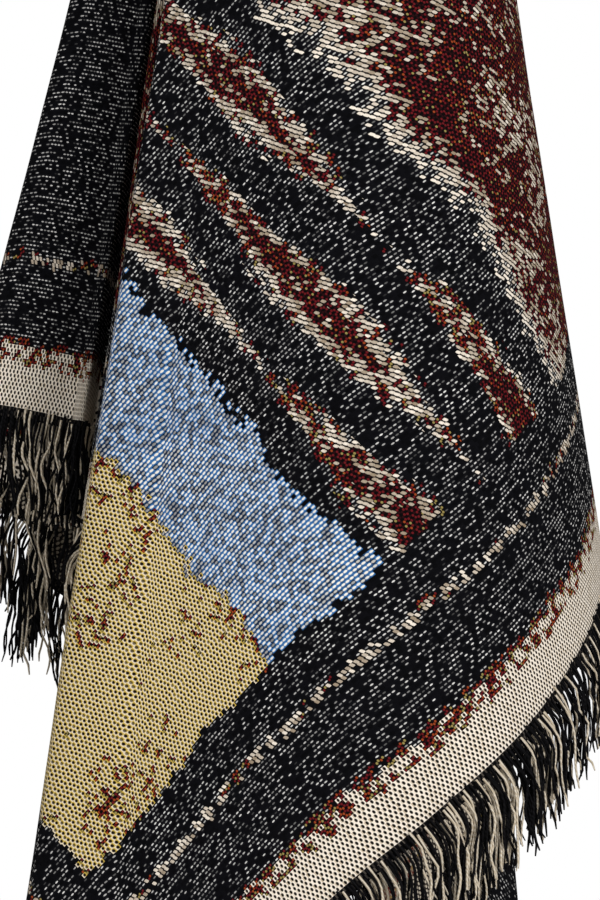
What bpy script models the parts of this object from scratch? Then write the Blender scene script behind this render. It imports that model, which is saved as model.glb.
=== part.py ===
"""Fringed throw blanket hung from its middle, falling in folds.

Metres, Z up, front towards -Y. The origin is the hang point, inside the cloth's peak.
Every thread line from the middle to the hem falls straight, so the folds form a pleated cone:
a table of crests and valleys gives its plan, and the flat rectangle gives its hem.
"""
import math

import bmesh
import bpy
import numpy as np

# Driving sizes, in metres
CLOTH_WIDTH = 1.27          # between the two sides whose hems show in front
CLOTH_LENGTH = 1.524
CLOTH_THICKNESS = 0.0016
PEAK_RADIUS = 0.031         # roundness of the peak where the throw is held up
PEAK_TURN = math.radians(78.0)
VALLEY_START = 0.018        # how near the middle line the valleys begin
FOLDS_FORMED = 0.28         # fall over which the valleys take their full depth
SWAY_AXIS = 5.0             # a fold that sways opens the other way, this many times as far
FRINGE_GAP = 0.0012         # parts the fringe's root strip from the hem
FRINGE_ROOT = 0.006
FRINGE_LENGTH = 0.051
FRINGE_THICKNESS = 0.0010
LOCK_PITCH = 0.032
LOCK_ROOM = 0.005           # least width of hung hem for each lock, so tight folds have fewer
LOCK_SHARE = 0.62           # width of a lock at its root, of the pitch
LOCK_TIP = 0.35             # width of its tip, of the root's width
LEAST_SQUARE = 0.2          # bound for the steepest hems, where a gap square to them needs a long fall
END_MARGIN = 0.12           # part of the last stretch of hem that is left free at a corner

# The plan of the folds, a row per crest, valley or point of the broad front, going left
# round the bundle. turn: degrees from the front; sway: degrees more in which its fall heads;
# spread: metres outwards for each metre of fall; bend: radius of the fold; cloth: degree of
# the flat cloth, seen from its middle, there.
STATION = ("kind", "turn", "sway", "spread", "bend", "cloth")
STATIONS = (
    ("valley", -90.0, 0.0, 0.036, 0.0030, 14.0),
    ("right edge", -74.0, 0.0, 0.159, 0.0120, 26.0),
    ("front", -56.0, 0.0, 0.161, 0.0, 31.0),
    ("front", -38.0, 0.0, 0.156, 0.0, 35.5),
    ("front", -19.0, 0.0, 0.148, 0.0, 39.0),
    ("front", 0.0, 0.0, 0.146, 0.0, 42.0),
    ("front", 18.0, 0.0, 0.151, 0.0, 45.5),
    ("front", 35.0, 0.0, 0.166, 0.0, 49.5),
    ("left edge", 49.0, 0.0, 0.1935, 0.0090, 53.0),
    ("groove", 55.5, 0.0, 0.052, 0.0022, 72.0),
    ("tuck", 59.5, 0.0, 0.112, 0.0030, 90.0),
    ("groove", 63.5, 0.0, 0.056, 0.0022, 106.0),
    ("tuck", 67.5, 0.0, 0.118, 0.0030, 120.0),
    ("groove", 71.5, 0.0, 0.060, 0.0022, 138.0),
    ("tuck", 75.5, 0.0, 0.149, 0.0030, 158.0),
    ("groove", 80.0, 15.0, 0.166, 0.0022, 171.0),
    ("lobe edge", 86.0, 0.0, 0.165, 0.0060, 180.0),
    ("crest", 94.5, 0.0, 0.259, 0.0120, 187.0),
    ("valley", 103.0, 0.0, 0.040, 0.0025, 195.0),
    ("crest", 112.0, 0.0, 0.255, 0.0090, 201.0),
    ("valley", 118.5, 0.0, 0.225, 0.0060, 204.3),
    ("tuck", 125.0, 0.0, 0.240, 0.0060, 208.0),
    ("valley", 134.0, 0.0, 0.034, 0.0025, 215.5),
)
# The back pleats: crest spread of each, evenly placed from the last row round to the first.
BACK_PLEATS = (0.226, 0.186, 0.200, 0.172, 0.182, 0.154, 0.172, 0.146)
PLEAT_VALLEY = 0.030
PLEAT_BEND = 0.0160
# Degrees round each kind of bend where the cloth has a column.
BEND_TURNS = {
    "valley": (-82.0, -42.0, 0.0, 42.0, 82.0),
    "crest": (-84.0, -44.0, 0.0, 44.0, 84.0),
    "groove": (-76.0, 0.0, 76.0),   # a tight valley
    "tuck": (-76.0, 0.0, 76.0),     # a tight crest, out of sight in a gap
    "right edge": (-86.0, -58.0, -29.0, 0.0),
    "lobe edge": (-76.0, -38.0, 0.0),
    "left edge": (0.0, 29.0, 58.0, 86.0),
    "front": (0.0,),
}
GROOVE_CLOTH = 0.15         # degrees of flat cloth on each side of a groove's bottom, whose hem is level
CAP_ROWS = 4
DROP_ROWS = 12

LINEN = (0.035, 0.033, 0.038, 1.0)
YARN = (0.045, 0.042, 0.045, 1.0)


def clear_scene():
    """Remove all that a new scene holds."""
    for item in list(bpy.data.objects):
        bpy.data.objects.remove(item)


def all_stations():
    """The whole turn of crests and valleys as named rows."""
    rows = [dict(zip(STATION, row)) for row in STATIONS]
    last = rows[-1]
    turn_step = (rows[0]["turn"] + 360.0 - last["turn"]) / len(BACK_PLEATS)
    cloth_step = (rows[0]["cloth"] + 360.0 - last["cloth"]) / len(BACK_PLEATS)
    for index, spread in enumerate(BACK_PLEATS):
        turn = last["turn"] + turn_step * index
        cloth = last["cloth"] + cloth_step * index
        crest = ("crest", turn + turn_step / 2, 0.0, spread, PLEAT_BEND, cloth + cloth_step / 2)
        valley = ("valley", turn + turn_step, 0.0, PLEAT_VALLEY, 0.0025, cloth + cloth_step)
        rows.append(dict(zip(STATION, crest)))
        rows.append(dict(zip(STATION, valley)))
    rows.pop()
    for index, row in enumerate(rows):
        before = (row["turn"] - rows[index - 1]["turn"]) % 360.0
        after = (rows[(index + 1) % len(rows)]["turn"] - row["turn"]) % 360.0
        row["room"] = math.radians(min(before, after)) / 2
    return rows


def hang(column, reach):
    """Place of the point that lies reach metres from the cloth's middle along a column's thread line."""
    if "between" in column:
        near, far = (np.array(hang(side, reach)) for side in column["between"])
        return tuple(near + (far - near) * column["share"])
    cap = PEAK_RADIUS * PEAK_TURN
    turned = min(reach, cap) / PEAK_RADIUS
    start = PEAK_RADIUS * math.sin(turned)
    drop = PEAK_RADIUS * (1.0 - math.cos(turned))
    fall = max(reach - cap, 0.0) / math.hypot(1.0, column["spread"])
    formed = min(fall / FOLDS_FORMED, 1.0)
    formed = formed * formed * (3.0 - 2.0 * formed)
    spread = column["spread"] * fall
    inwards = -1.0 if column["kind"] in ("valley", "groove") else 1.0
    if inwards < 0.0:
        start += (VALLEY_START - start) * formed + 0.05 * fall * (1.0 - formed)
        spread *= formed
    turn, heading = math.radians(column["turn"]), math.radians(column["turn"] + column["sway"])
    left = start * math.sin(turn) + spread * math.sin(heading)
    front = start * math.cos(turn) + spread * math.cos(heading)
    bend, around = column["bend"], math.radians(column["around"])
    sideways = min(bend, 0.8 * column["room"] * math.hypot(left, front)) * math.sin(around)
    outwards = -inwards * bend * formed * (1.0 - math.cos(around))
    axis = math.atan2(left, front) - math.radians(SWAY_AXIS * column["sway"]) * formed
    left += outwards * math.sin(axis) + sideways * math.cos(axis)
    front += outwards * math.cos(axis) - sideways * math.sin(axis)
    return (-left, -front, -drop - fall - CLOTH_THICKNESS / 2)


def add_column(line, angle):
    """Put a column at an angle of the flat cloth, between its neighbours, or move one that is close."""
    for index, near in enumerate(line):
        far = line[(index + 1) % len(line)]
        share = (angle - near["cloth"]) % 360.0 / ((far["cloth"] - near["cloth"]) % 360.0)
        if share < 0.1:
            near["cloth"] = angle
            return
        if share < 0.9:
            wall = dict(kind="wall", between=(near, far), share=share, cloth=angle, spread=0.0)
            line.insert(index + 1, wall)
            return
        if share <= 1.0:
            far["cloth"] = angle
            return


def spread_cloth(line):
    """Give each column its degree of the flat cloth, by length in plan between the table's rows."""
    places = [hang(column, CLOTH_WIDTH / 2)[:2] for column in line]
    steps = [math.dist(place, places[index - 1]) for index, place in enumerate(places)]
    lengths = np.cumsum([0.0] + steps[1:])
    ties = []
    for length, column in zip(lengths, line):
        if column["around"] == 0.0 or column["kind"] == "groove":
            aside = GROOVE_CLOTH * math.sin(math.radians(column["around"]))
            ties.append((length, column["cloth"] + aside))
    first, last = ties[0], ties[-1]
    ties.insert(0, (last[0] - lengths[-1] - steps[0], last[1] - 360.0))
    ties.append((lengths[-1] + steps[0] + first[0], first[1] + 360.0))
    for column, length in zip(line, lengths):
        column["cloth"] = float(np.interp(length, *zip(*ties))) % 360.0


def mark_hem(line):
    """Give each column its reach to the hem, the flat place of its hem, and how square the hem is there."""
    for column in line:
        across = math.cos(math.radians(column["cloth"]))
        along = math.sin(math.radians(column["cloth"]))
        reach_across = CLOTH_WIDTH / 2 / max(abs(across), 1e-9)
        reach_along = CLOTH_LENGTH / 2 / max(abs(along), 1e-9)
        column["hem"] = min(reach_across, reach_along)
        column["edge"] = (across * column["hem"], along * column["hem"])
    slopes = [hem_square(line[index - 1], column) for index, column in enumerate(line)]
    for index, column in enumerate(line):
        column["square"] = min(slopes[index], slopes[(index + 1) % len(slopes)])


def columns(rows):
    """Columns of cloth round the bundle, one of them at each of the rectangle's corners."""
    line = [dict(row, around=around) for row in rows for around in BEND_TURNS[row["kind"]]]
    spread_cloth(line)
    corner = math.degrees(math.atan2(CLOTH_LENGTH, CLOTH_WIDTH))
    for angle in (corner, 180.0 - corner, 180.0 + corner, 360.0 - corner):
        add_column(line, angle)
    mark_hem(line)
    return line


def fall_line(column):
    """Hem point of a column and the way its threads fall there."""
    hem = np.array(hang(column, column["hem"]))
    fall = hem - np.array(hang(column, column["hem"] - 0.02))
    return hem, fall / np.linalg.norm(fall)


def hem_square(near, far):
    """How square the hem between two columns is to the way the threads fall: 1 is square."""
    (near_hem, fall), (far_hem, _) = fall_line(near), fall_line(far)
    along = (far_hem - near_hem) / np.linalg.norm(far_hem - near_hem)
    return max(math.sqrt(1.0 - float(np.dot(along, fall)) ** 2), LEAST_SQUARE)


def corner_columns(line):
    """Which columns lie at the rectangle's corners."""
    diagonal = math.hypot(CLOTH_WIDTH, CLOTH_LENGTH) / 2
    return [index for index, column in enumerate(line) if abs(column["hem"] - diagonal) < 0.0001]


def grid_sheet(across, down):
    """A sheet of across by down faces whose points lie at whole numbers: column and row."""
    sheet = bmesh.new()
    bmesh.ops.create_grid(sheet, x_segments=across, y_segments=down, size=0.5)
    for vert in sheet.verts:
        vert.co = (round((vert.co.x + 0.5) * across), round((0.5 - vert.co.y) * down), 0.0)
    return sheet


def finish(name, sheet, thick, color):
    """Make the sheet an object of its own thickness, its faces pointing out."""
    bmesh.ops.remove_doubles(sheet, verts=sheet.verts, dist=0.00001)
    bmesh.ops.recalc_face_normals(sheet, faces=sheet.faces)
    mesh = bpy.data.meshes.new(name)
    sheet.to_mesh(mesh)
    sheet.free()
    mesh.shade_smooth()
    item = bpy.data.objects.new(name, mesh)
    thickness = item.modifiers.new("thickness", "SOLIDIFY")
    thickness.thickness = thick
    thickness.offset = 0.0
    material = bpy.data.materials.new(name)
    material.use_nodes = True
    shader = material.node_tree.nodes["Principled BSDF"]
    shader.inputs["Base Color"].default_value = color
    shader.inputs["Roughness"].default_value = 0.95
    shader.inputs["Metallic"].default_value = 0.0
    mesh.materials.append(material)
    bpy.data.collections["throw_blanket"].objects.link(item)
    return item


def make_cloth(line):
    """The cloth from its peak to its hem."""
    cap = PEAK_RADIUS * PEAK_TURN
    sheet = grid_sheet(len(line), CAP_ROWS + DROP_ROWS)
    for vert in sheet.verts:
        column = line[round(vert.co.x) % len(line)]
        row = round(vert.co.y)
        if row < CAP_ROWS:
            reach = cap * row / CAP_ROWS
        else:
            reach = cap + (column["hem"] - cap) * ((row - CAP_ROWS) / DROP_ROWS) ** 1.3
        vert.co = hang(column, reach)
    return finish("cloth", sheet, CLOTH_THICKNESS, LINEN)


def hem_marks(line, first, last):
    """Where the root strip has a column: its two cloth columns, its share between them, the middle of
    its lock, and whether a lock starts there."""
    marks = []
    for index in range(first, last):
        pair = (line[index % len(line)], line[(index + 1) % len(line)])
        begin = END_MARGIN if index == first else 0.0
        end = 1.0 - END_MARGIN if index == last - 1 else 1.0
        length = math.dist(pair[0]["edge"], pair[1]["edge"]) * (end - begin)
        across = math.dist(*(hang(column, column["hem"])[:2] for column in pair)) * (end - begin)
        count = min(math.ceil(length / LOCK_PITCH - 0.3), int(across / LOCK_ROOM))
        marks.append((pair, begin, begin, False))
        for lock in range(count):
            middle = begin + (end - begin) * (lock + 0.5) / count
            half = (end - begin) * LOCK_SHARE / count / 2
            marks.append((pair, middle - half, middle, True))
            marks.append((pair, middle + half, middle, False))
    marks.append((pair, end, end, False))
    return marks


def below_hem(pair, share, drop, hang_down=0.0):
    """Place below the straight hem between two columns: drop is square to the hem, hang_down straight."""
    (near_hem, near_fall), (far_hem, far_fall) = fall_line(pair[0]), fall_line(pair[1])
    hem = near_hem * (1.0 - share) + far_hem * share
    fall = near_fall * (1.0 - share) + far_fall * share
    square = pair[0]["square"] * (1.0 - share) + pair[1]["square"] * share
    return hem + fall / np.linalg.norm(fall) * (drop / square + hang_down)


def make_fringe(name, line, first, last):
    """A root strip along one side's hem with tapered locks below it, from one corner to the next."""
    marks = hem_marks(line, first, last)
    sheet = grid_sheet(len(marks) - 1, 2)
    middles = [(face, face.calc_center_median()) for face in sheet.faces]
    gaps = [face for face, middle in middles if middle.y > 1.0 and not marks[int(middle.x)][3]]
    bmesh.ops.delete(sheet, geom=gaps, context="FACES")
    for vert in sheet.verts:
        pair, share, middle, _ = marks[round(vert.co.x)]
        row = round(vert.co.y)
        if row == 0:
            vert.co = below_hem(pair, share, FRINGE_GAP)
        elif row == 1:
            vert.co = below_hem(pair, share, FRINGE_GAP + FRINGE_ROOT)
        else:
            share = middle + (share - middle) * LOCK_TIP
            vert.co = below_hem(pair, share, FRINGE_GAP + FRINGE_ROOT, FRINGE_LENGTH - FRINGE_ROOT)
    return finish(name, sheet, FRINGE_THICKNESS, YARN)


clear_scene()
bpy.context.scene.collection.children.link(bpy.data.collections.new("throw_blanket"))
hang_line = columns(all_stations())
make_cloth(hang_line)
corners = corner_columns(hang_line)
side_starts = corners[-1:] + [index + len(hang_line) for index in corners]
for side, first, last in zip("abcd", side_starts, side_starts[1:]):
    make_fringe("fringe_" + side, hang_line, first, last)
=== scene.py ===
# %% [markdown]
# # A fringed throw blanket, hung from its middle
# The real object is one rectangle of tapestry cloth with its own thread ends as a fringe.
# It hangs from its middle, so every thread line from there to the hem falls straight, and
# the cloth closes like an umbrella: a broad fold in front, a narrow one set back on the
# left, and pleats behind them.
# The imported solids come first, because every piece here is fitted to them.

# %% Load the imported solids
import math

import bmesh
import bpy
import numpy as np
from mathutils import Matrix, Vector, noise


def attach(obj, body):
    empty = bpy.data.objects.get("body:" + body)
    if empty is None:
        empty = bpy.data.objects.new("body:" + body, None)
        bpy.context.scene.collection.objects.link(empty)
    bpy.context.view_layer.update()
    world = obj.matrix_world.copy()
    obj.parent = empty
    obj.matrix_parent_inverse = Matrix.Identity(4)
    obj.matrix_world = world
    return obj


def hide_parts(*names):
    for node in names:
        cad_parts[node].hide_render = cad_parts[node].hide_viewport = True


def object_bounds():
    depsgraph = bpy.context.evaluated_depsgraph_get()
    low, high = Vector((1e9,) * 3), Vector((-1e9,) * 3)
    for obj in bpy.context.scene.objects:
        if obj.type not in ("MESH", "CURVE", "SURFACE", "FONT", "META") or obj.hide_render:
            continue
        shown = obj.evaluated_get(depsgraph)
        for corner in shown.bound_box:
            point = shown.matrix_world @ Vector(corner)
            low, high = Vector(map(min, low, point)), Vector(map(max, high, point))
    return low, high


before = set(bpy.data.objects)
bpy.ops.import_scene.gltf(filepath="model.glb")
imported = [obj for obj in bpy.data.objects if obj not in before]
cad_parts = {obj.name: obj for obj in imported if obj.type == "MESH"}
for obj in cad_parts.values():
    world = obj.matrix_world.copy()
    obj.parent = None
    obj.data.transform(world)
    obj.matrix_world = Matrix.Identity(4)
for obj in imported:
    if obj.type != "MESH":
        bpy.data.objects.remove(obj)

cad_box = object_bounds()
print("nodes:", sorted(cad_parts))

# %% [markdown]
# ## The sizes of the throw
# A throw is cut to a standard size, so the flat sheet is known before it is hung.
# The folds are given by a short table: which way each one points, how far it spreads for
# each metre of fall, how round it is, and which part of the flat cloth hangs there. One
# fold sways: its fall heads elsewhere, which opens the dark gap beside the narrow fold.
# A table like this is easier to read and to change than a list of points.

# %% Sizes and the table of folds
CLOTH_WIDTH = 1.27          # metres
CLOTH_LENGTH = 1.524
CLOTH_THICKNESS = 0.0016
PEAK_RADIUS = 0.031
PEAK_TURN = math.radians(78.0)
VALLEY_START = 0.018
FOLDS_FORMED = 0.28
SWAY_AXIS = 5.0
FRINGE_LENGTH = 0.051

# turn, sway and cloth are in degrees, bend is a radius in metres,
# and spread is metres outwards for each metre of fall
STATION = ("kind", "turn", "sway", "spread", "bend", "cloth")
STATIONS = (
    ("valley", -90.0, 0.0, 0.036, 0.0030, 14.0),
    ("right edge", -74.0, 0.0, 0.159, 0.0120, 26.0),
    ("front", -56.0, 0.0, 0.161, 0.0, 31.0),
    ("front", -38.0, 0.0, 0.156, 0.0, 35.5),
    ("front", -19.0, 0.0, 0.148, 0.0, 39.0),
    ("front", 0.0, 0.0, 0.146, 0.0, 42.0),
    ("front", 18.0, 0.0, 0.151, 0.0, 45.5),
    ("front", 35.0, 0.0, 0.166, 0.0, 49.5),
    ("left edge", 49.0, 0.0, 0.1935, 0.0090, 53.0),
    ("groove", 55.5, 0.0, 0.052, 0.0022, 72.0),
    ("tuck", 59.5, 0.0, 0.112, 0.0030, 90.0),
    ("groove", 63.5, 0.0, 0.056, 0.0022, 106.0),
    ("tuck", 67.5, 0.0, 0.118, 0.0030, 120.0),
    ("groove", 71.5, 0.0, 0.060, 0.0022, 138.0),
    ("tuck", 75.5, 0.0, 0.149, 0.0030, 158.0),
    ("groove", 80.0, 15.0, 0.166, 0.0022, 171.0),
    ("lobe edge", 86.0, 0.0, 0.165, 0.0060, 180.0),
    ("crest", 94.5, 0.0, 0.259, 0.0120, 187.0),
    ("valley", 103.0, 0.0, 0.040, 0.0025, 195.0),
    ("crest", 112.0, 0.0, 0.255, 0.0090, 201.0),
    ("valley", 118.5, 0.0, 0.225, 0.0060, 204.3),
    ("tuck", 125.0, 0.0, 0.240, 0.0060, 208.0),
    ("valley", 134.0, 0.0, 0.034, 0.0025, 215.5),
)
BACK_PLEATS = (0.226, 0.186, 0.200, 0.172, 0.182, 0.154, 0.172, 0.146)
PLEAT_VALLEY = 0.030
PLEAT_VALLEY_BEND = 0.0025
PLEAT_BEND = 0.0160


def all_stations():
    """The whole turn of crests and valleys as named rows."""
    rows = [dict(zip(STATION, row)) for row in STATIONS]
    last = rows[-1]
    turn_step = (rows[0]["turn"] + 360.0 - last["turn"]) / len(BACK_PLEATS)
    cloth_step = (rows[0]["cloth"] + 360.0 - last["cloth"]) / len(BACK_PLEATS)
    for index, spread in enumerate(BACK_PLEATS):
        turn = last["turn"] + turn_step * index
        cloth = last["cloth"] + cloth_step * index
        crest = ("crest", turn + turn_step / 2, 0.0, spread, PLEAT_BEND, cloth + cloth_step / 2)
        valley = ("valley", turn + turn_step, 0.0, PLEAT_VALLEY, PLEAT_VALLEY_BEND,
                  cloth + cloth_step)
        rows.append(dict(zip(STATION, crest)))
        rows.append(dict(zip(STATION, valley)))
    rows.pop()              # the last valley is the table's first row again
    for index, row in enumerate(rows):
        before = (row["turn"] - rows[index - 1]["turn"]) % 360.0
        after = (rows[(index + 1) % len(rows)]["turn"] - row["turn"]) % 360.0
        row["room"] = math.radians(min(before, after)) / 2
    return rows


stations = all_stations()
print("crests, valleys and front points:", len(stations))

# %% [markdown]
# ## How a thread line hangs
# Near the hang point the cloth lies over a small round peak. Below it a thread line falls
# straight, further out on a crest than in a valley. So one function of the way along the
# thread gives the place of any point of the cloth. The fine sheet and the yarns both use it.

# %% The place of a point of the cloth
EARLY_SPREAD = 0.05         # how a valley spreads before the folds are formed
BEND_ROOM = 0.8             # share of the way to the next fold that a bend may take up


def hang(column, reach):
    """Place of the point that lies reach metres from the cloth's middle along a column's thread line."""
    if "between" in column:
        near, far = (hang(side, reach) for side in column["between"])
        return near + (far - near) * column["share"]
    cap = PEAK_RADIUS * PEAK_TURN
    turned = min(reach, cap) / PEAK_RADIUS
    start = PEAK_RADIUS * math.sin(turned)
    drop = PEAK_RADIUS * (1.0 - math.cos(turned))
    fall = max(reach - cap, 0.0) / math.hypot(1.0, column["spread"])
    formed = min(fall / FOLDS_FORMED, 1.0)
    formed = formed * formed * (3.0 - 2.0 * formed)
    spread = column["spread"] * fall
    inwards = -1.0 if column["kind"] in ("valley", "groove") else 1.0
    if inwards < 0.0:
        start += (VALLEY_START - start) * formed + EARLY_SPREAD * fall * (1.0 - formed)
        spread *= formed
    turn, heading = math.radians(column["turn"]), math.radians(column["turn"] + column["sway"])
    left = start * math.sin(turn) + spread * math.sin(heading)
    front = start * math.cos(turn) + spread * math.cos(heading)
    bend, around = column["bend"], math.radians(column["around"])
    sideways = min(bend, BEND_ROOM * column["room"] * math.hypot(left, front)) * math.sin(around)
    outwards = -inwards * bend * formed * (1.0 - math.cos(around))
    axis = math.atan2(left, front) - math.radians(SWAY_AXIS * column["sway"]) * formed
    left += outwards * math.sin(axis) + sideways * math.cos(axis)
    front += outwards * math.cos(axis) - sideways * math.sin(axis)
    return Vector((-left, -front, -drop - fall - CLOTH_THICKNESS / 2))


def smooth_value(rows, key, turn):
    """Value of a column of the table at a turn, on a curve without kinks through the rows."""
    turns = [row["turn"] for row in rows]
    values = [row[key] for row in rows]
    slopes = np.gradient(values, turns)
    index = min(max(int(np.searchsorted(turns, turn)) - 1, 0), len(rows) - 2)
    span = turns[index + 1] - turns[index]
    t = (turn - turns[index]) / span
    rise = values[index + 1] - values[index]
    start, end = slopes[index] * span, slopes[index + 1] * span
    return values[index] + start * t + (3 * rise - 2 * start - end) * t**2 + (start + end - 2 * rise) * t**3


# %% [markdown]
# ## The columns of the fine sheet
# The solid has three to five columns round a bend. The sheet that shows needs more, or its
# folds look cut with a knife, and it also needs some on the flat walls, which ripple a little.
# The degree of the flat cloth is spread over the columns by their length in plan.

# %% Make the columns
BEND_COLUMNS = {
    "valley": 9, "crest": 15, "groove": 5, "tuck": 7, "right edge": 9, "left edge": 9, "lobe edge": 7,
}
BEND_ENDS = {"right edge": (-86.0, 0.0), "left edge": (0.0, 86.0), "lobe edge": (-76.0, 0.0)}
GROOVE_CLOTH = 0.15         # degrees of flat cloth on each side of a groove's bottom
FRONT_COLUMNS = 62
WALL_COLUMNS = 5


def bend_columns(row):
    """Columns round the bend of one crest, valley or edge."""
    ends = BEND_ENDS.get(row["kind"], (-78.0, 78.0))
    return [dict(row, around=float(around)) for around in np.linspace(*ends, BEND_COLUMNS[row["kind"]])]


def front_columns(rows):
    """Columns over the broad front, smoothly between its two edges."""
    broad = [row for row in rows if row["kind"] in ("right edge", "front", "left edge")]
    result = []
    for turn in np.linspace(broad[0]["turn"], broad[-1]["turn"], FRONT_COLUMNS + 2)[1:-1]:
        spread = smooth_value(broad, "spread", turn)
        cloth = smooth_value(broad, "cloth", turn)
        result.append(dict(kind="front", turn=float(turn), sway=0.0, spread=spread, bend=0.0, cloth=cloth,
                           around=0.0, room=0.1))
    return result


def wall_columns(near, far, count):
    """Columns on the flat wall between two bends."""
    return [dict(kind="wall", between=(near, far), share=(step + 1) / (count + 1)) for step in range(count)]


def fine_columns(rows):
    """All the columns of the sheet, going left round the bundle."""
    groups = [bend_columns(row) for row in rows if row["kind"] != "front"]
    result = []
    for index, group in enumerate(groups):
        following = groups[(index + 1) % len(groups)]
        result += group
        if group[0]["kind"] == "right edge":
            result += front_columns(rows)
        else:
            result += wall_columns(group[-1], following[0], WALL_COLUMNS)
    return result


def flat_angles(line):
    """Give each column its degree of the flat cloth, by length in plan between the table's rows."""
    places = [hang(column, CLOTH_WIDTH / 2).to_2d() for column in line]
    steps = [(place - places[index - 1]).length for index, place in enumerate(places)]
    lengths = np.cumsum([0.0] + steps[1:])
    ties = []
    for length, column in zip(lengths, line):
        around = column.get("around", 99.0)
        if abs(around) < 0.001 or column["kind"] == "groove":
            ties.append((length, column["cloth"] + GROOVE_CLOTH * math.sin(math.radians(around))))
    first, last = ties[0], ties[-1]
    ties = [(last[0] - lengths[-1] - steps[0], last[1] - 360.0)] + ties
    ties += [(lengths[-1] + steps[0] + first[0], first[1] + 360.0)]
    for column, length in zip(line, lengths):
        column["cloth"] = float(np.interp(length, *zip(*ties))) % 360.0


def mark_hem(line):
    """Give each column its hem: the reach, and the place on the flat rectangle's edge."""
    for column in line:
        across = math.cos(math.radians(column["cloth"]))
        along = math.sin(math.radians(column["cloth"]))
        reach_across = CLOTH_WIDTH / 2 / max(abs(across), 1e-9)
        reach_along = CLOTH_LENGTH / 2 / max(abs(along), 1e-9)
        column["hem"] = min(reach_across, reach_along)
        column["edge"] = (across * column["hem"], along * column["hem"])


line = fine_columns(stations)
flat_angles(line)
corner = math.degrees(math.atan2(CLOTH_LENGTH, CLOTH_WIDTH))
for angle in (corner, 180.0 - corner, 180.0 + corner, 360.0 - corner):
    min(line, key=lambda column: abs(column["cloth"] - angle))["cloth"] = angle
mark_hem(line)
print("columns:", len(line))

# %% [markdown]
# ## The cloth
# A grid is the natural start for cloth: its columns are the thread lines, its rows run
# round. Each point keeps its place on the flat rectangle as its UV, in metres, so the
# weave follows the cloth wherever it hangs. Soft ripples of a millimetre or two
# make it less perfect, as cotton is once it has been folded and shaken out.
# Solidify gives it the thickness of the solid, and the reverse side its own finish.

# %% Make the cloth
CAP_ROWS = 8
DROP_ROWS = 78
ROW_CROWDING = 1.15         # above 1, the rows lie closer towards the peak
RIPPLE = 0.0014             # metres
RIPPLE_REACH = 0.25         # the ripples grow to full height over this fall
SMALL_RIPPLES = 0.35        # height of the small ripples as a share of the soft ones


def ripple(place, reach):
    """How far a point stands off its smooth fold."""
    soft = noise.noise(Vector((place.x * 14.0, place.y * 14.0, place.z * 5.0)))
    small = noise.noise(Vector((place.x * 40.0, place.y * 40.0, place.z * 13.0 + 7.0)))
    return RIPPLE * min(reach / RIPPLE_REACH, 1.0) * (soft + SMALL_RIPPLES * small)


def grid_sheet(across, down):
    """A sheet of across by down faces whose points lie at whole numbers: column and row."""
    sheet = bmesh.new()
    bmesh.ops.create_grid(sheet, x_segments=across, y_segments=down, size=0.5)
    for vert in sheet.verts:
        vert.co = (round((vert.co.x + 0.5) * across), round((0.5 - vert.co.y) * down), 0.0)
    return sheet


def link_mesh(name, built):
    """Turn a bmesh into an object in the scene."""
    mesh = bpy.data.meshes.new(name)
    built.to_mesh(mesh)
    built.free()
    mesh.shade_smooth()
    item = bpy.data.objects.new(name, mesh)
    bpy.context.scene.collection.objects.link(item)
    return item


def make_cloth():
    """The sheet from its peak to its hem, with the flat cloth as its UV map."""
    cap = PEAK_RADIUS * PEAK_TURN
    sheet = grid_sheet(len(line), CAP_ROWS + DROP_ROWS)
    flat_x = sheet.verts.layers.float.new("flat_x")
    flat_y = sheet.verts.layers.float.new("flat_y")
    for vert in sheet.verts:
        column = line[round(vert.co.x) % len(line)]
        row = round(vert.co.y)
        if row < CAP_ROWS:
            reach = cap * row / CAP_ROWS
        else:
            reach = cap + (column["hem"] - cap) * ((row - CAP_ROWS) / DROP_ROWS) ** ROW_CROWDING
        vert.co = hang(column, reach)
        vert[flat_x] = reach * math.cos(math.radians(column["cloth"]))
        vert[flat_y] = reach * math.sin(math.radians(column["cloth"]))
    bmesh.ops.remove_doubles(sheet, verts=sheet.verts, dist=0.00001)
    bmesh.ops.recalc_face_normals(sheet, faces=sheet.faces)
    sheet.normal_update()
    moves = [(vert, vert.normal * ripple(vert.co, -vert.co.z)) for vert in sheet.verts]
    for vert, move in moves:
        vert.co += move
    uv = sheet.loops.layers.uv.new("flat")
    for face in sheet.faces:
        for loop in face.loops:
            loop[uv].uv = (loop.vert[flat_x], loop.vert[flat_y])
    return link_mesh("throw_cloth", sheet)


cloth = make_cloth()
out = sum(1 for face in cloth.data.polygons if face.center.xy.dot(face.normal.xy) > 0.0)
print("cloth faces:", len(cloth.data.polygons), "facing out:", out)

# %% [markdown]
# ## Building materials in nodes
# Every finish below is a network of small nodes. One helper adds a node, sets it and links
# it, so that each line reads like a sum. Colours are picked in sRGB, as on a screen, and one
# function turns them to the linear values that light is worked out in.

# %% Helpers for nodes
COTTON_ROUGHNESS = 0.92


def linear(code):
    """A hex colour as the shader needs it."""
    values = [int(code[place:place + 2], 16) / 255.0 for place in (1, 3, 5)]
    return tuple(v / 12.92 if v <= 0.04045 else ((v + 0.055) / 1.055) ** 2.4 for v in values) + (1.0,)


def add(tree, kind, inputs=(), output=0, **settings):
    """Add a node, set it, fill or link its inputs in order or by name, and return one output."""
    item = tree.nodes.new(kind)
    for name, value in settings.items():
        setattr(item, name, value)
    pairs = inputs.items() if isinstance(inputs, dict) else enumerate(inputs)
    for key, value in pairs:
        if isinstance(value, bpy.types.NodeSocket):
            tree.links.new(value, item.inputs[key])
        elif value is not None:
            item.inputs[key].default_value = value
    return item.outputs[output]


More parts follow.
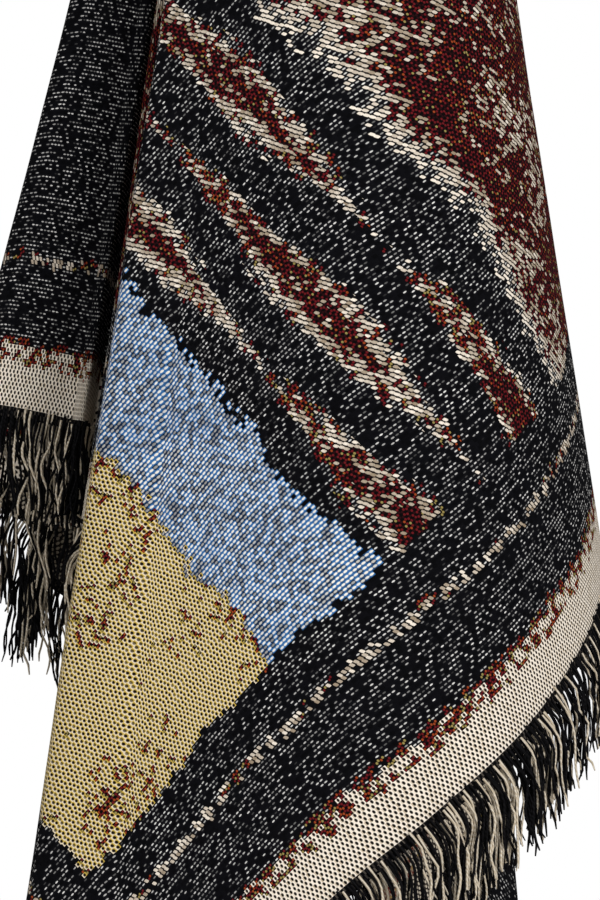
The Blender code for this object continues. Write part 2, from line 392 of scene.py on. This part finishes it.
def new_material(name, roughness, specular):
    """A new material, with its tree and its plain shader."""
    material = bpy.data.materials.new(name)
    material.use_nodes = True
    shader = material.node_tree.nodes["Principled BSDF"]
    shader.inputs["Roughness"].default_value = roughness
    shader.inputs["Specular IOR Level"].default_value = specular
    shader.inputs["IOR"].default_value = 1.5
    return material, material.node_tree, shader


# %% [markdown]
# ## The tapestry weave
# A jacquard loom has only a few yarns of fixed colours. It makes every tone by
# the way they cross: on the black ground one pale weft yarn in two dips over the warp as a
# short dash, while pale areas are an open net of warp yarns with dark holes between them.
# So the finish works on the loom's own grid. First each point learns which crossing it is
# in. The pattern is then read once for each crossing, at its middle, which gives
# the stepped, slightly ragged edges of woven colour. Last, each area draws its own crossing.

# %% The loom's grid
PICK = 0.0020               # metres from one weft row to the next
DASH = 0.00235              # metres from one dash to the next along a row


def sums(tree):
    """A short way to write sums of nodes: do(operation, a, b)."""
    def run(operation, *values, clamp=False):
        return add(tree, "ShaderNodeMath", values, operation=operation, use_clamp=clamp)
    return run


def loom_grid(tree):
    """Named sockets: place in the crossing (a, b from -0.5 to 0.5), its middle (x, y), random numbers."""
    do = sums(tree)
    flat = add(tree, "ShaderNodeUVMap", uv_map="flat")
    x = add(tree, "ShaderNodeSeparateXYZ", [flat])
    y = add(tree, "ShaderNodeSeparateXYZ", [flat], output=1)
    rows = do("DIVIDE", x, PICK)
    row = do("FLOOR", rows)
    row_chance = add(tree, "ShaderNodeTexWhiteNoise", {"W": row}, noise_dimensions="1D")
    shift = do("MULTIPLY_ADD", row, 0.5, do("MULTIPLY", row_chance, 0.36))
    along = do("ADD", do("DIVIDE", y, DASH), shift)
    dash = do("FLOOR", along)
    cell = add(tree, "ShaderNodeCombineXYZ", [row, dash, 0.0])
    chances = add(tree, "ShaderNodeTexWhiteNoise", {"Vector": cell}, output=1, noise_dimensions="2D")
    thread = do("FLOOR", do("DIVIDE", y, DASH))
    return {
        "a": do("SUBTRACT", do("FRACT", along), 0.5),
        "b": do("SUBTRACT", do("FRACT", rows), 0.5),
        "x": do("MULTIPLY", do("ADD", row, 0.5), PICK),
        "y": do("MULTIPLY", do("SUBTRACT", do("ADD", dash, 0.5), shift), DASH),
        "chance": add(tree, "ShaderNodeTexWhiteNoise", {"Vector": cell}, noise_dimensions="2D"),
        "second": add(tree, "ShaderNodeSeparateXYZ", [chances]),
        "third": add(tree, "ShaderNodeSeparateXYZ", [chances], output=1),
        "thread": add(tree, "ShaderNodeTexWhiteNoise", {"W": thread}, noise_dimensions="1D"),
    }


# %% [markdown]
# ## The layout of the pattern
# The pattern is a plain traditional one: stripes across the throw, rows of feathered
# lozenges, and a border on every side. All its distances are from the cloth's
# middle or from its nearest side. Each thread along the stripes is shifted a little by
# chance before the lozenges are read, as in a bundle of yarns that was dyed before
# weaving. That is what feathers their tips.

# %% The areas of the pattern
# stripes and lozenges, in metres from the cloth's middle
BANDS = (("red", 0.095, 0.305), ("blue", 0.455, 0.520), ("ochre", 0.520, 0.70))
SEAM = (0.300, 0.310)
LOZENGE_ROWS = ((0.350, 0.0), (0.391, 0.5), (0.430, 0.0))       # middle, and start as a share of a step
LOZENGE_STEP = 0.21
LOZENGE_HALF = (0.100, 0.0150)          # half its length and half its width
LOZENGE_CORE = 0.60         # share of a lozenge that is its core
FEATHER = 0.036             # range over which threads are shifted

# the border, in metres from the hem
BORDER = 0.105
THIN_LINE = (0.0750, 0.0800)
RUST_BITS = (0.0265, 0.0385)
CREAM_BAND = (0.0, 0.0350)
BOUND_HEM = 0.0050
STITCHES = (0.0022, 0.0034)

# how uneven the woven edges are
WANDER = 0.030              # metres, with the soft noise
STEPS = 0.006               # metres, from one crossing to the next
FIELD_SHARE, BORDER_SHARE = 0.5, 0.35           # how much of both the field's edge and the border have
SEAM_STEPS = 0.012
LOZENGE_STEPS = 0.35        # shares of a lozenge
FLECK_WANDER, FLECK_STEPS = 0.9, 0.20
FLECK, SPECK, BIT = 0.585, 0.66, 0.44           # levels of the noise: flecks, few specks, many bits
LINE_LEVEL, RUST_LEVEL = 0.47, 0.49             # above these the thin line and the rust bits show
TONE = 1.6                  # how strongly the soft noise dims and brightens the dashes


def between(do, value, low, high):
    """1 where a value lies between two limits."""
    return do("MULTIPLY", do("GREATER_THAN", value, low), do("LESS_THAN", value, high))


def lozenges(do, grid, x, y):
    """How far a crossing is from the middle of its lozenge: 1 is the lozenge's edge."""
    shifted = do("MULTIPLY_ADD", do("SUBTRACT", grid["thread"], 0.5), FEATHER, x)
    nearest = None
    for middle, start in LOZENGE_ROWS:
        turn = do("FRACT", do("ADD", do("DIVIDE", shifted, LOZENGE_STEP), start))
        off_x = do("MULTIPLY", do("ABSOLUTE", do("SUBTRACT", turn, 0.5)), LOZENGE_STEP / LOZENGE_HALF[0])
        off_y = do("DIVIDE", do("ABSOLUTE", do("SUBTRACT", y, middle)), LOZENGE_HALF[1])
        size = do("ADD", off_x, off_y)
        nearest = size if nearest is None else do("MINIMUM", nearest, size)
    return nearest


def pattern_areas(tree, grid):
    """A mask of 0 or 1 for each area, the same all over a crossing, and a soft change of tone."""
    do = sums(tree)
    middle = add(tree, "ShaderNodeCombineXYZ", [grid["x"], grid["y"], 0.0])
    soft = {"Vector": middle, "Scale": 22.0, "Detail": 3.0, "Roughness": 0.6}
    sharp = {"Vector": middle, "Scale": 170.0, "Detail": 2.0, "Roughness": 0.7}
    wide = add(tree, "ShaderNodeTexNoise", soft)
    fine = add(tree, "ShaderNodeTexNoise", sharp)
    wave = do("SUBTRACT", wide, 0.5)
    chance = do("SUBTRACT", grid["chance"], 0.5)
    ragged = do("MULTIPLY_ADD", wave, WANDER, do("MULTIPLY", chance, STEPS))
    x, y = do("ABSOLUTE", grid["x"]), do("ABSOLUTE", grid["y"])
    edge = do("MINIMUM", do("SUBTRACT", CLOTH_WIDTH / 2, x), do("SUBTRACT", CLOTH_LENGTH / 2, y))
    ragged_edge = do("ADD", edge, do("MULTIPLY", ragged, BORDER_SHARE))
    field = do("GREATER_THAN", do("ADD", edge, do("MULTIPLY", ragged, FIELD_SHARE)), BORDER)
    across = do("ADD", y, ragged)
    areas = {name: do("MULTIPLY", field, between(do, across, low, high)) for name, low, high in BANDS}

    from_middle = do("ADD", lozenges(do, grid, x, y), do("ADD", do("MULTIPLY", chance, LOZENGE_STEPS), wave))
    areas["lozenge"] = do("MULTIPLY", field, do("LESS_THAN", from_middle, 1.0))
    areas["core"] = do("MULTIPLY", field, do("LESS_THAN", from_middle, LOZENGE_CORE))
    flecks = do("ADD", fine, do("MULTIPLY_ADD", wave, FLECK_WANDER, do("MULTIPLY", chance, FLECK_STEPS)))
    areas["fleck"] = do("GREATER_THAN", flecks, FLECK)
    areas["speck"] = do("GREATER_THAN", flecks, SPECK)
    areas["bit"] = do("GREATER_THAN", flecks, BIT)
    loose = do("MULTIPLY_ADD", chance, SEAM_STEPS, across)
    areas["seam"] = do("MULTIPLY", field, between(do, loose, *SEAM))
    line_shows, rust_shows = (do("GREATER_THAN", fine, level) for level in (LINE_LEVEL, RUST_LEVEL))
    areas["line"] = do("MULTIPLY", between(do, ragged_edge, *THIN_LINE), line_shows)
    areas["cream"] = between(do, ragged_edge, *CREAM_BAND)
    areas["rust"] = do("MULTIPLY", between(do, ragged_edge, *RUST_BITS), rust_shows)
    areas["hem"] = do("LESS_THAN", edge, BOUND_HEM)
    areas["stitch"] = between(do, edge, *STITCHES)
    areas["tone"] = do("MULTIPLY_ADD", wave, TONE, 1.0)
    return areas


# %% [markdown]
# ## How each area is woven
# The dash, the hole and the small knot are drawn from the place inside one crossing.
# They give the height for the bump as well as the colour, so light catches the same yarns
# that are pale. On the reverse of a jacquard the pale yarns lie where the front is dark,
# so the back has the same pattern in swapped colours. Cotton is mat, and its black has
# almost no shine: a low specular level keeps the ground deep.

# %% The weave's colours and relief
CLOTH_SPECULAR = 0.06
DASH_OVAL = (0.36, 0.18, 1.6)           # half width and half height in crossings, and sharpness
DASH_GAIN, DASH_SHIFT = 1.45, -0.57     # so two crossings in five have no dash
RED_RUSTY, BITS_RUSTY = 0.14, 0.46      # share of warmer knots in the field, and in small bits
LOOP = 0.32                 # the hem's binding loops lie beyond this part of a crossing
STITCH_SHOWS = 0.6
HEM_YARNS = {"deep": "#060608", "loop": "#5c554e", "stitch": "#a07c36"}
BUMP_DEPTH = 0.0004         # metres from a hole to the top of a yarn
FRONT_YARNS = {
    "ground": "#040406", "ground_light": "#0f0f14", "dash": "#dddbd7",
    "net": "#ece1d2", "net_deep": "#beae96", "hole": "#130c09", "fleck_deep": "#94836e",
    "ochre": "#c2a64c", "ochre_pale": "#dfd0b5", "ochre_hole": "#160e0a",
    "red": "#64171c", "red_deep": "#260a0e", "rust": "#93401f", "olive": "#93834c", "red_ground": "#070405",
    "blue": "#2f669f", "blue_deep": "#0f213b", "blue_dash": "#ece7dc",
}
BACK_YARNS = {
    "ground": "#8d877d", "ground_light": "#b3ab9d", "dash": "#1d1d20",
    "net": "#2a2626", "net_deep": "#4a4039", "hole": "#d8ccb8", "fleck_deep": "#3b3430",
    "ochre": "#3b332b", "ochre_pale": "#5a4c38", "ochre_hole": "#d8b870",
    "red": "#c9b9a6", "red_deep": "#8a7a6c", "rust": "#6e211b", "olive": "#b09a5c", "red_ground": "#8d6b5c",
    "blue": "#b9b4a9", "blue_deep": "#6c7076", "blue_dash": "#3a5a86",
}


def oval(do, grid, wide, high, sharp):
    """1 inside an oval at the crossing's middle and 0 outside: the higher sharp is, the harder its edge."""
    a = do("POWER", do("DIVIDE", do("ABSOLUTE", grid["a"]), wide), 2.0)
    b = do("POWER", do("DIVIDE", do("ABSOLUTE", grid["b"]), high), 2.0)
    return do("MULTIPLY_ADD", do("SUBTRACT", 1.0, do("ADD", a, b)), sharp, 0.5, clamp=True)


def mix_color(tree, share, first, second):
    """Mix two colours, each a hex code or a socket."""
    first, second = (linear(value) if isinstance(value, str) else value for value in (first, second))
    return add(tree, "ShaderNodeMix", {0: share, 6: first, 7: second}, output=2, data_type="RGBA")


def black_crossing(tree, do, grid, areas, yarns, dash):
    """Black ground with a short dash in each crossing: many are dim, and some are missing."""
    strength = do("MULTIPLY_ADD", grid["chance"], DASH_GAIN, DASH_SHIFT, clamp=True)
    strength = do("MULTIPLY", do("MULTIPLY", strength, dash), areas["tone"], clamp=True)
    ground = mix_color(tree, grid["second"], yarns["ground"], yarns["ground_light"])
    return mix_color(tree, strength, ground, yarns["dash"])


def red_crossing(tree, do, grid, yarns, rusty):
    """Oxblood from four dark yarns: two small knots in each crossing, a rusty share of them warmer."""
    left = do("LESS_THAN", grid["a"], 0.0)
    low = do("MULTIPLY_ADD", left, 0.30, do("SUBTRACT", grid["b"], 0.15))
    half = dict(grid, a=do("SUBTRACT", do("ABSOLUTE", grid["a"]), 0.25), b=low)
    chance = do("FRACT", do("MULTIPLY_ADD", left, 0.37, grid["second"]))
    knot = mix_color(tree, do("GREATER_THAN", chance, 0.50), yarns["red"], yarns["red_deep"])
    knot = mix_color(tree, do("GREATER_THAN", chance, 1.0 - rusty), knot, yarns["rust"])
    olive = do("GREATER_THAN", do("ADD", chance, grid["third"]), 1.75 - rusty)
    knot = mix_color(tree, olive, knot, yarns["olive"])
    return mix_color(tree, oval(do, half, 0.22, 0.30, 1.3), yarns["red_ground"], knot)


def net_crossing(tree, do, grid, yarns):
    """Pale net: two tones of yarn round a tall dark hole."""
    side = do("MULTIPLY", do("GREATER_THAN", grid["a"], 0.0), grid["second"])
    color = mix_color(tree, side, yarns["net"], yarns["net_deep"])
    return mix_color(tree, oval(do, grid, 0.26, 0.47, 1.2), color, yarns["hole"])


def fleck_crossing(tree, do, grid, yarns):
    """A pale fleck: one slanting stroke in each crossing, so that neighbours join to a ragged line."""
    slanting = dict(grid, a=do("MULTIPLY_ADD", grid["b"], 0.35, grid["a"]))
    pale = mix_color(tree, grid["second"], yarns["net"], yarns["fleck_deep"])
    return mix_color(tree, oval(do, slanting, 0.36, 0.66, 1.8), yarns["red_ground"], pale)


def ochre_crossing(tree, do, grid, yarns):
    """Ochre net: a yellow and a cream yarn side by side round a dark hole."""
    color = mix_color(tree, do("GREATER_THAN", grid["a"], 0.0), yarns["ochre"], yarns["ochre_pale"])
    depth = do("MULTIPLY_ADD", grid["chance"], 0.6, 0.78, clamp=True)
    hole = do("MULTIPLY", oval(do, grid, 0.31, 0.39, 1.2), depth)
    return mix_color(tree, hole, color, yarns["ochre_hole"])


def blue_crossing(tree, do, grid, areas, yarns):
    """Blue ground of two tones under long bright dashes that lie close."""
    tone = do("MULTIPLY_ADD", grid["second"], 2.0, -0.5, clamp=True)
    ground = mix_color(tree, tone, yarns["blue_deep"], yarns["blue"])
    bright = do("MULTIPLY", do("MULTIPLY_ADD", grid["chance"], 0.9, 0.28), areas["tone"], clamp=True)
    strength = do("MULTIPLY", oval(do, grid, 0.45, 0.27, 1.6), bright)
    return mix_color(tree, strength, ground, yarns["blue_dash"])


def bound_hem(tree, do, grid, areas):
    """The black binding loops along the hem, with a thin yellow stitching thread."""
    loop = do("GREATER_THAN", do("ABSOLUTE", grid["a"]), LOOP)
    color = mix_color(tree, do("MULTIPLY", loop, grid["second"]), HEM_YARNS["deep"], HEM_YARNS["loop"])
    stitch = do("MULTIPLY", do("MULTIPLY", areas["stitch"], loop), STITCH_SHOWS)
    return mix_color(tree, stitch, color, HEM_YARNS["stitch"])


def weave_material(name, yarns):
    """Cotton tapestry: each area's crossing is laid over the ones before it."""
    material, tree, shader = new_material(name, COTTON_ROUGHNESS, CLOTH_SPECULAR)
    do = sums(tree)
    grid = loom_grid(tree)
    areas = pattern_areas(tree, grid)
    dash = oval(do, grid, *DASH_OVAL)
    red = red_crossing(tree, do, grid, yarns, RED_RUSTY)
    warm = red_crossing(tree, do, grid, yarns, BITS_RUSTY)
    net = net_crossing(tree, do, grid, yarns)
    fleck = fleck_crossing(tree, do, grid, yarns)

    mixed = mix_color(tree, areas["bit"], warm, fleck)
    layers = (
        (areas["red"], red),
        (do("MULTIPLY", areas["red"], areas["fleck"]), fleck),
        (areas["blue"], blue_crossing(tree, do, grid, areas, yarns)),
        (areas["ochre"], ochre_crossing(tree, do, grid, yarns)),
        (do("MULTIPLY", areas["ochre"], areas["speck"]), warm),
        (areas["lozenge"], mixed),
        (areas["core"], red),
        (do("MULTIPLY", areas["core"], areas["speck"]), fleck),
        (areas["seam"], fleck),
        (areas["line"], mixed),
        (areas["cream"], net),
        (areas["rust"], warm),
        (areas["hem"], bound_hem(tree, do, grid, areas)),
    )
    color = black_crossing(tree, do, grid, areas, yarns, dash)
    for mask, woven in layers:
        color = mix_color(tree, mask, color, woven)

    pale = do("MAXIMUM", areas["cream"], do("MAXIMUM", areas["ochre"], areas["lozenge"]))
    open_net = do("SUBTRACT", 1.0, oval(do, grid, 0.27, 0.40, 1.2))
    height = add(tree, "ShaderNodeMix", {0: pale, 2: dash, 3: open_net}, data_type="FLOAT")
    bump = add(tree, "ShaderNodeBump", {"Strength": 0.7, "Distance": BUMP_DEPTH, "Height": height})
    tree.links.new(color, shader.inputs["Base Color"])
    tree.links.new(bump, shader.inputs["Normal"])
    return material


cloth.data.materials.append(weave_material("cotton_tapestry", FRONT_YARNS))
cloth.data.materials.append(weave_material("cotton_tapestry_reverse", BACK_YARNS))
thickness = cloth.modifiers.new("thickness", "SOLIDIFY")
thickness.thickness = CLOTH_THICKNESS
thickness.offset = 0.0
thickness.material_offset = 1
thickness.material_offset_rim = 0
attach(cloth, "root")
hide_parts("cloth")
print("cloth materials:", [slot.name for slot in cloth.material_slots])

# %% [markdown]
# ## The fringe
# The fringe is the cloth's own weft and warp ends, left long past the hem. Each yarn leaves
# square to the hem, then gravity takes it. They could be hairs, but a poly curve with a
# thin bevel gives real geometry that exports. The yarn's wave comes from its time in
# the weave: each one keeps a crimp of its own, and neighbours lean together in tufts.

# %% Make the yarns
YARN_RADIUS = 0.00062
YARN_PITCH = 0.0022         # metres of hem to each pair of yarns
YARN_POINTS = 12
YARN_LENGTHS = (0.86, 1.04)             # shares of the fringe's length
YARN_LAYERS = (-0.0013, 0.0015)         # metres: a pair begins behind and in front of the hem
YARN_OVERLAP = (0.0020, 0.0060)         # metres above the hem at which a yarn begins
CRIMP = (0.0006, 0.0028)                # metres, height of a yarn's wave
CRIMP_LENGTH = (0.018, 0.040)
TURN_DOWN = 0.020           # metres of yarn over which its fall and its crimp set in
STRAY = 0.08                # how much yarns stray along the hem
LIFT = (-0.05, 0.14)        # and outwards
STRAY_START = 0.012
TUFT, TUFT_LEAN = 0.016, 0.45           # metres of hem to a tuft, and how much tufts lean
BUNCH, BUNCH_TONE = 0.022, 0.5          # metres of hem to a bunch, and how much bunches differ in tone
CREAM_SHARE = 0.30
CUT_END = 0.6
HEM_PROBE = 0.02            # the way that the threads fall is read over this much above the hem


def hem_frame(x, y):
    """Place of a point of the flat rectangle's edge, with the ways out, along and square to the hem there."""
    angle = math.degrees(math.atan2(y, x)) % 360.0
    index = min(range(len(line)), key=lambda item: (angle - line[item]["cloth"]) % 360.0)
    near, far = line[index], line[(index + 1) % len(line)]
    length = math.dist(near["edge"], far["edge"])
    share = math.dist(near["edge"], (x, y)) / length if length > 1e-6 else 0.0
    first, second = hang(near, near["hem"]), hang(far, far["hem"])
    near_fall = first - hang(near, near["hem"] - HEM_PROBE)
    far_fall = second - hang(far, far["hem"] - HEM_PROBE)
    fall = near_fall.lerp(far_fall, share).normalized()
    tangent = (second - first).normalized()
    outward = tangent.cross(fall).normalized()
    square = outward.cross(tangent).normalized()
    return first.lerp(second, share), outward, tangent, square


def yarn_points(frame_of_hem, depth, lean, chance):
    """Points along one yarn: out square to the hem, then down, with a crimp of its own."""
    start, outward, tangent, square = frame_of_hem
    step = FRINGE_LENGTH * chance.uniform(*YARN_LENGTHS) / (YARN_POINTS - 1)
    down = Vector((0.0, 0.0, -1.0))
    turn, phase = chance.uniform(0.0, math.tau), chance.uniform(0.0, math.tau)
    wave, beat = chance.uniform(*CRIMP), math.tau / chance.uniform(*CRIMP_LENGTH)
    side = tangent * math.cos(turn) + outward * math.sin(turn)
    stray = tangent * (chance.normal(0.0, STRAY) + lean) + outward * chance.uniform(*LIFT)
    place = start - square * chance.uniform(*YARN_OVERLAP) + outward * depth
    points = []
    for number in range(YARN_POINTS):
        way = number * step
        pull = min(way / TURN_DOWN, 1.0)
        points.append(place + side * wave * pull * math.sin(beat * way + phase))
        heading = square.lerp(down, pull * pull * (3 - 2 * pull)) + stray * min(way / STRAY_START, 1.0)
        place = place + heading.normalized() * step
    return points


def add_yarn(curve, points, material_index):
    """One yarn as a spline, a little thinner at its cut end."""
    spline = curve.splines.new("POLY")
    spline.points.add(len(points) - 1)
    for point, place in zip(spline.points, points):
        point.co = (*place, 1.0)
        point.radius = 1.0
    spline.points[-1].radius = CUT_END
    spline.material_index = material_index
    spline.use_smooth = True


def make_fringe(name, corners, seed, materials):
    """All the yarns of one side as one mesh: the first material is black, the second cream."""
    chance = np.random.default_rng(seed)
    curve = bpy.data.curves.new(name, "CURVE")
    for material in materials:
        curve.materials.append(material)
    curve.dimensions = "3D"
    curve.bevel_depth = YARN_RADIUS
    curve.bevel_resolution = 0
    curve.use_fill_caps = True
    (x0, y0), (x1, y1) = corners
    length = math.dist(*corners)
    count = int(length / YARN_PITCH)
    for number in range(count * 2):
        share = min(max((number / 2 + chance.uniform(0.1, 0.9)) / count, 0.001), 0.999)
        hem = hem_frame(x0 + (x1 - x0) * share, y0 + (y1 - y0) * share)
        tuft = noise.noise(Vector((share * length / TUFT, seed * 9.0, 0.0)))
        bunch = noise.noise(Vector((share * length / BUNCH, seed * 9.0, 5.0)))
        points = yarn_points(hem, YARN_LAYERS[number % 2], TUFT_LEAN * tuft, chance)
        add_yarn(curve, points, int(chance.uniform() < CREAM_SHARE + BUNCH_TONE * bunch))
    tubes = bpy.data.objects.new(name + "_curve", curve)
    bpy.context.scene.collection.objects.link(tubes)
    bpy.context.view_layer.update()
    mesh = bpy.data.meshes.new_from_object(tubes.evaluated_get(bpy.context.evaluated_depsgraph_get()))
    bpy.data.objects.remove(tubes)
    item = bpy.data.objects.new(name, mesh)
    bpy.context.scene.collection.objects.link(item)
    return item


# %% [markdown]
# ## The yarn's finish
# Cotton yarn is two strands twisted together. The twist shows as short slanting ribs,
# so slanting bands bump each rib and paint shade between the ribs, broken by random fuzz.

# %% The yarn materials
YARN_SPECULAR = 0.08


def yarn_material(name, pale, deep):
    """Plied cotton yarn: rough and fuzzy, with painted shade between its ribs."""
    material, tree, shader = new_material(name, COTTON_ROUGHNESS, YARN_SPECULAR)
    place = add(tree, "ShaderNodeTexCoord", output=3)
    ribs = add(tree, "ShaderNodeTexWave", {"Vector": place, "Scale": 260.0, "Distortion": 2.0, "Detail": 1.0},
               output=1, wave_type="BANDS", bands_direction="DIAGONAL")
    fuzz = add(tree, "ShaderNodeTexNoise", {"Vector": place, "Scale": 320.0, "Detail": 2.0})
    share = add(tree, "ShaderNodeMath", [ribs, fuzz], operation="MULTIPLY")
    bump = add(tree, "ShaderNodeBump", {"Strength": 0.5, "Distance": 0.0003, "Height": ribs})
    # the second colour shows between the ribs: painted shade, broken by random fuzz
    tree.links.new(mix_color(tree, share, deep, pale), shader.inputs["Base Color"])
    tree.links.new(bump, shader.inputs["Normal"])
    return material


# each yarn's darker colour is painted shade between its ribs
black_yarn = yarn_material("cotton_yarn_black", "#1b1a1d", "#050506")
cream_yarn = yarn_material("cotton_yarn_cream", "#f3eadb", "#b9aa92")
half_x, half_y = CLOTH_WIDTH / 2, CLOTH_LENGTH / 2
SIDES = {
    "a": ((half_x, -half_y), (half_x, half_y)),
    "b": ((half_x, half_y), (-half_x, half_y)),
    "c": ((-half_x, half_y), (-half_x, -half_y)),
    "d": ((-half_x, -half_y), (half_x, -half_y)),
}
for seed, (side, corners) in enumerate(SIDES.items(), start=3):
    fringe = make_fringe("throw_fringe_" + side, corners, seed, (black_yarn, cream_yarn))
    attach(fringe, "root")
    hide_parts("fringe_" + side)
    cream = sum(1 for face in fringe.data.polygons if face.material_index == 1)
    print(fringe.name, "faces:", len(fringe.data.polygons), "cream:", cream)

# %% [markdown]
# ## Floor, light and camera
# The throw hangs over a plain pale floor in soft studio light: one large soft light
# to the right of the camera, whose shade falls into the gap beside the narrow
# fold, a weaker one on the left, and a pale surround. The camera looks level at the lower
# half of the throw, from far enough away that the folds keep their proportions.

# %% The setting
FRAME_CENTRE = Vector((-0.016, 0.0, -0.620))
CAMERA_DISTANCE = 2.4
FRAME_HEIGHT = 0.4365       # metres of the throw that the picture shows, from top to bottom
SENSOR = 36.0               # millimetres
LIGHTS = (                  # name, place, metres across and watts
    ("key_light", (1.15, -2.2, 0.35), 0.8, 50.0),
    ("side_light", (-1.6, -1.4, -0.2), 0.9, 9.0),
)
SURROUND = 0.30             # strength of the pale surround as light; the camera sees it as white
FLOOR_HALF = 2.9
FLOOR_BELOW = 0.12


def area_light(name, place, size, power):
    """A square soft light that faces the middle of the view."""
    data = bpy.data.lights.new(name, "AREA")
    data.size = size
    data.energy = power
    item = bpy.data.objects.new(name, data)
    item.location = place
    item.rotation_euler = (FRAME_CENTRE - Vector(place)).to_track_quat("-Z", "Y").to_euler()
    bpy.context.scene.collection.objects.link(item)


for light in LIGHTS:
    area_light(*light)

floor_mesh = bmesh.new()
bmesh.ops.create_grid(floor_mesh, x_segments=1, y_segments=1, size=FLOOR_HALF)
floor = link_mesh("floor", floor_mesh)
floor.location.z = cad_box[0][2] - FLOOR_BELOW
floor_material, _, floor_shader = new_material("matt_paint_pale", 0.9, 0.3)
floor_shader.inputs["Base Color"].default_value = linear("#f2f1ee")
floor.data.materials.append(floor_material)

world = bpy.data.worlds.new("pale_studio")
world.use_nodes = True
bpy.context.scene.world = world
sky = world.node_tree
seen = add(sky, "ShaderNodeLightPath")
strength = add(sky, "ShaderNodeMapRange", {"Value": seen, "To Min": SURROUND, "To Max": 1.0})
sky.links.new(strength, sky.nodes["Background"].inputs["Strength"])
sky.nodes["Background"].inputs["Color"].default_value = (1.0, 1.0, 1.0, 1.0)
bpy.context.scene.view_settings.view_transform = "Standard"

camera = bpy.data.objects.new("camera", bpy.data.cameras.new("camera"))
camera.location = FRAME_CENTRE + Vector((0.0, -CAMERA_DISTANCE, 0.0))
camera.rotation_euler = (math.radians(90.0), 0.0, 0.0)
camera.data.sensor_width = SENSOR
camera.data.lens = SENSOR * CAMERA_DISTANCE / FRAME_HEIGHT
bpy.context.scene.collection.objects.link(camera)
bpy.context.scene.camera = camera
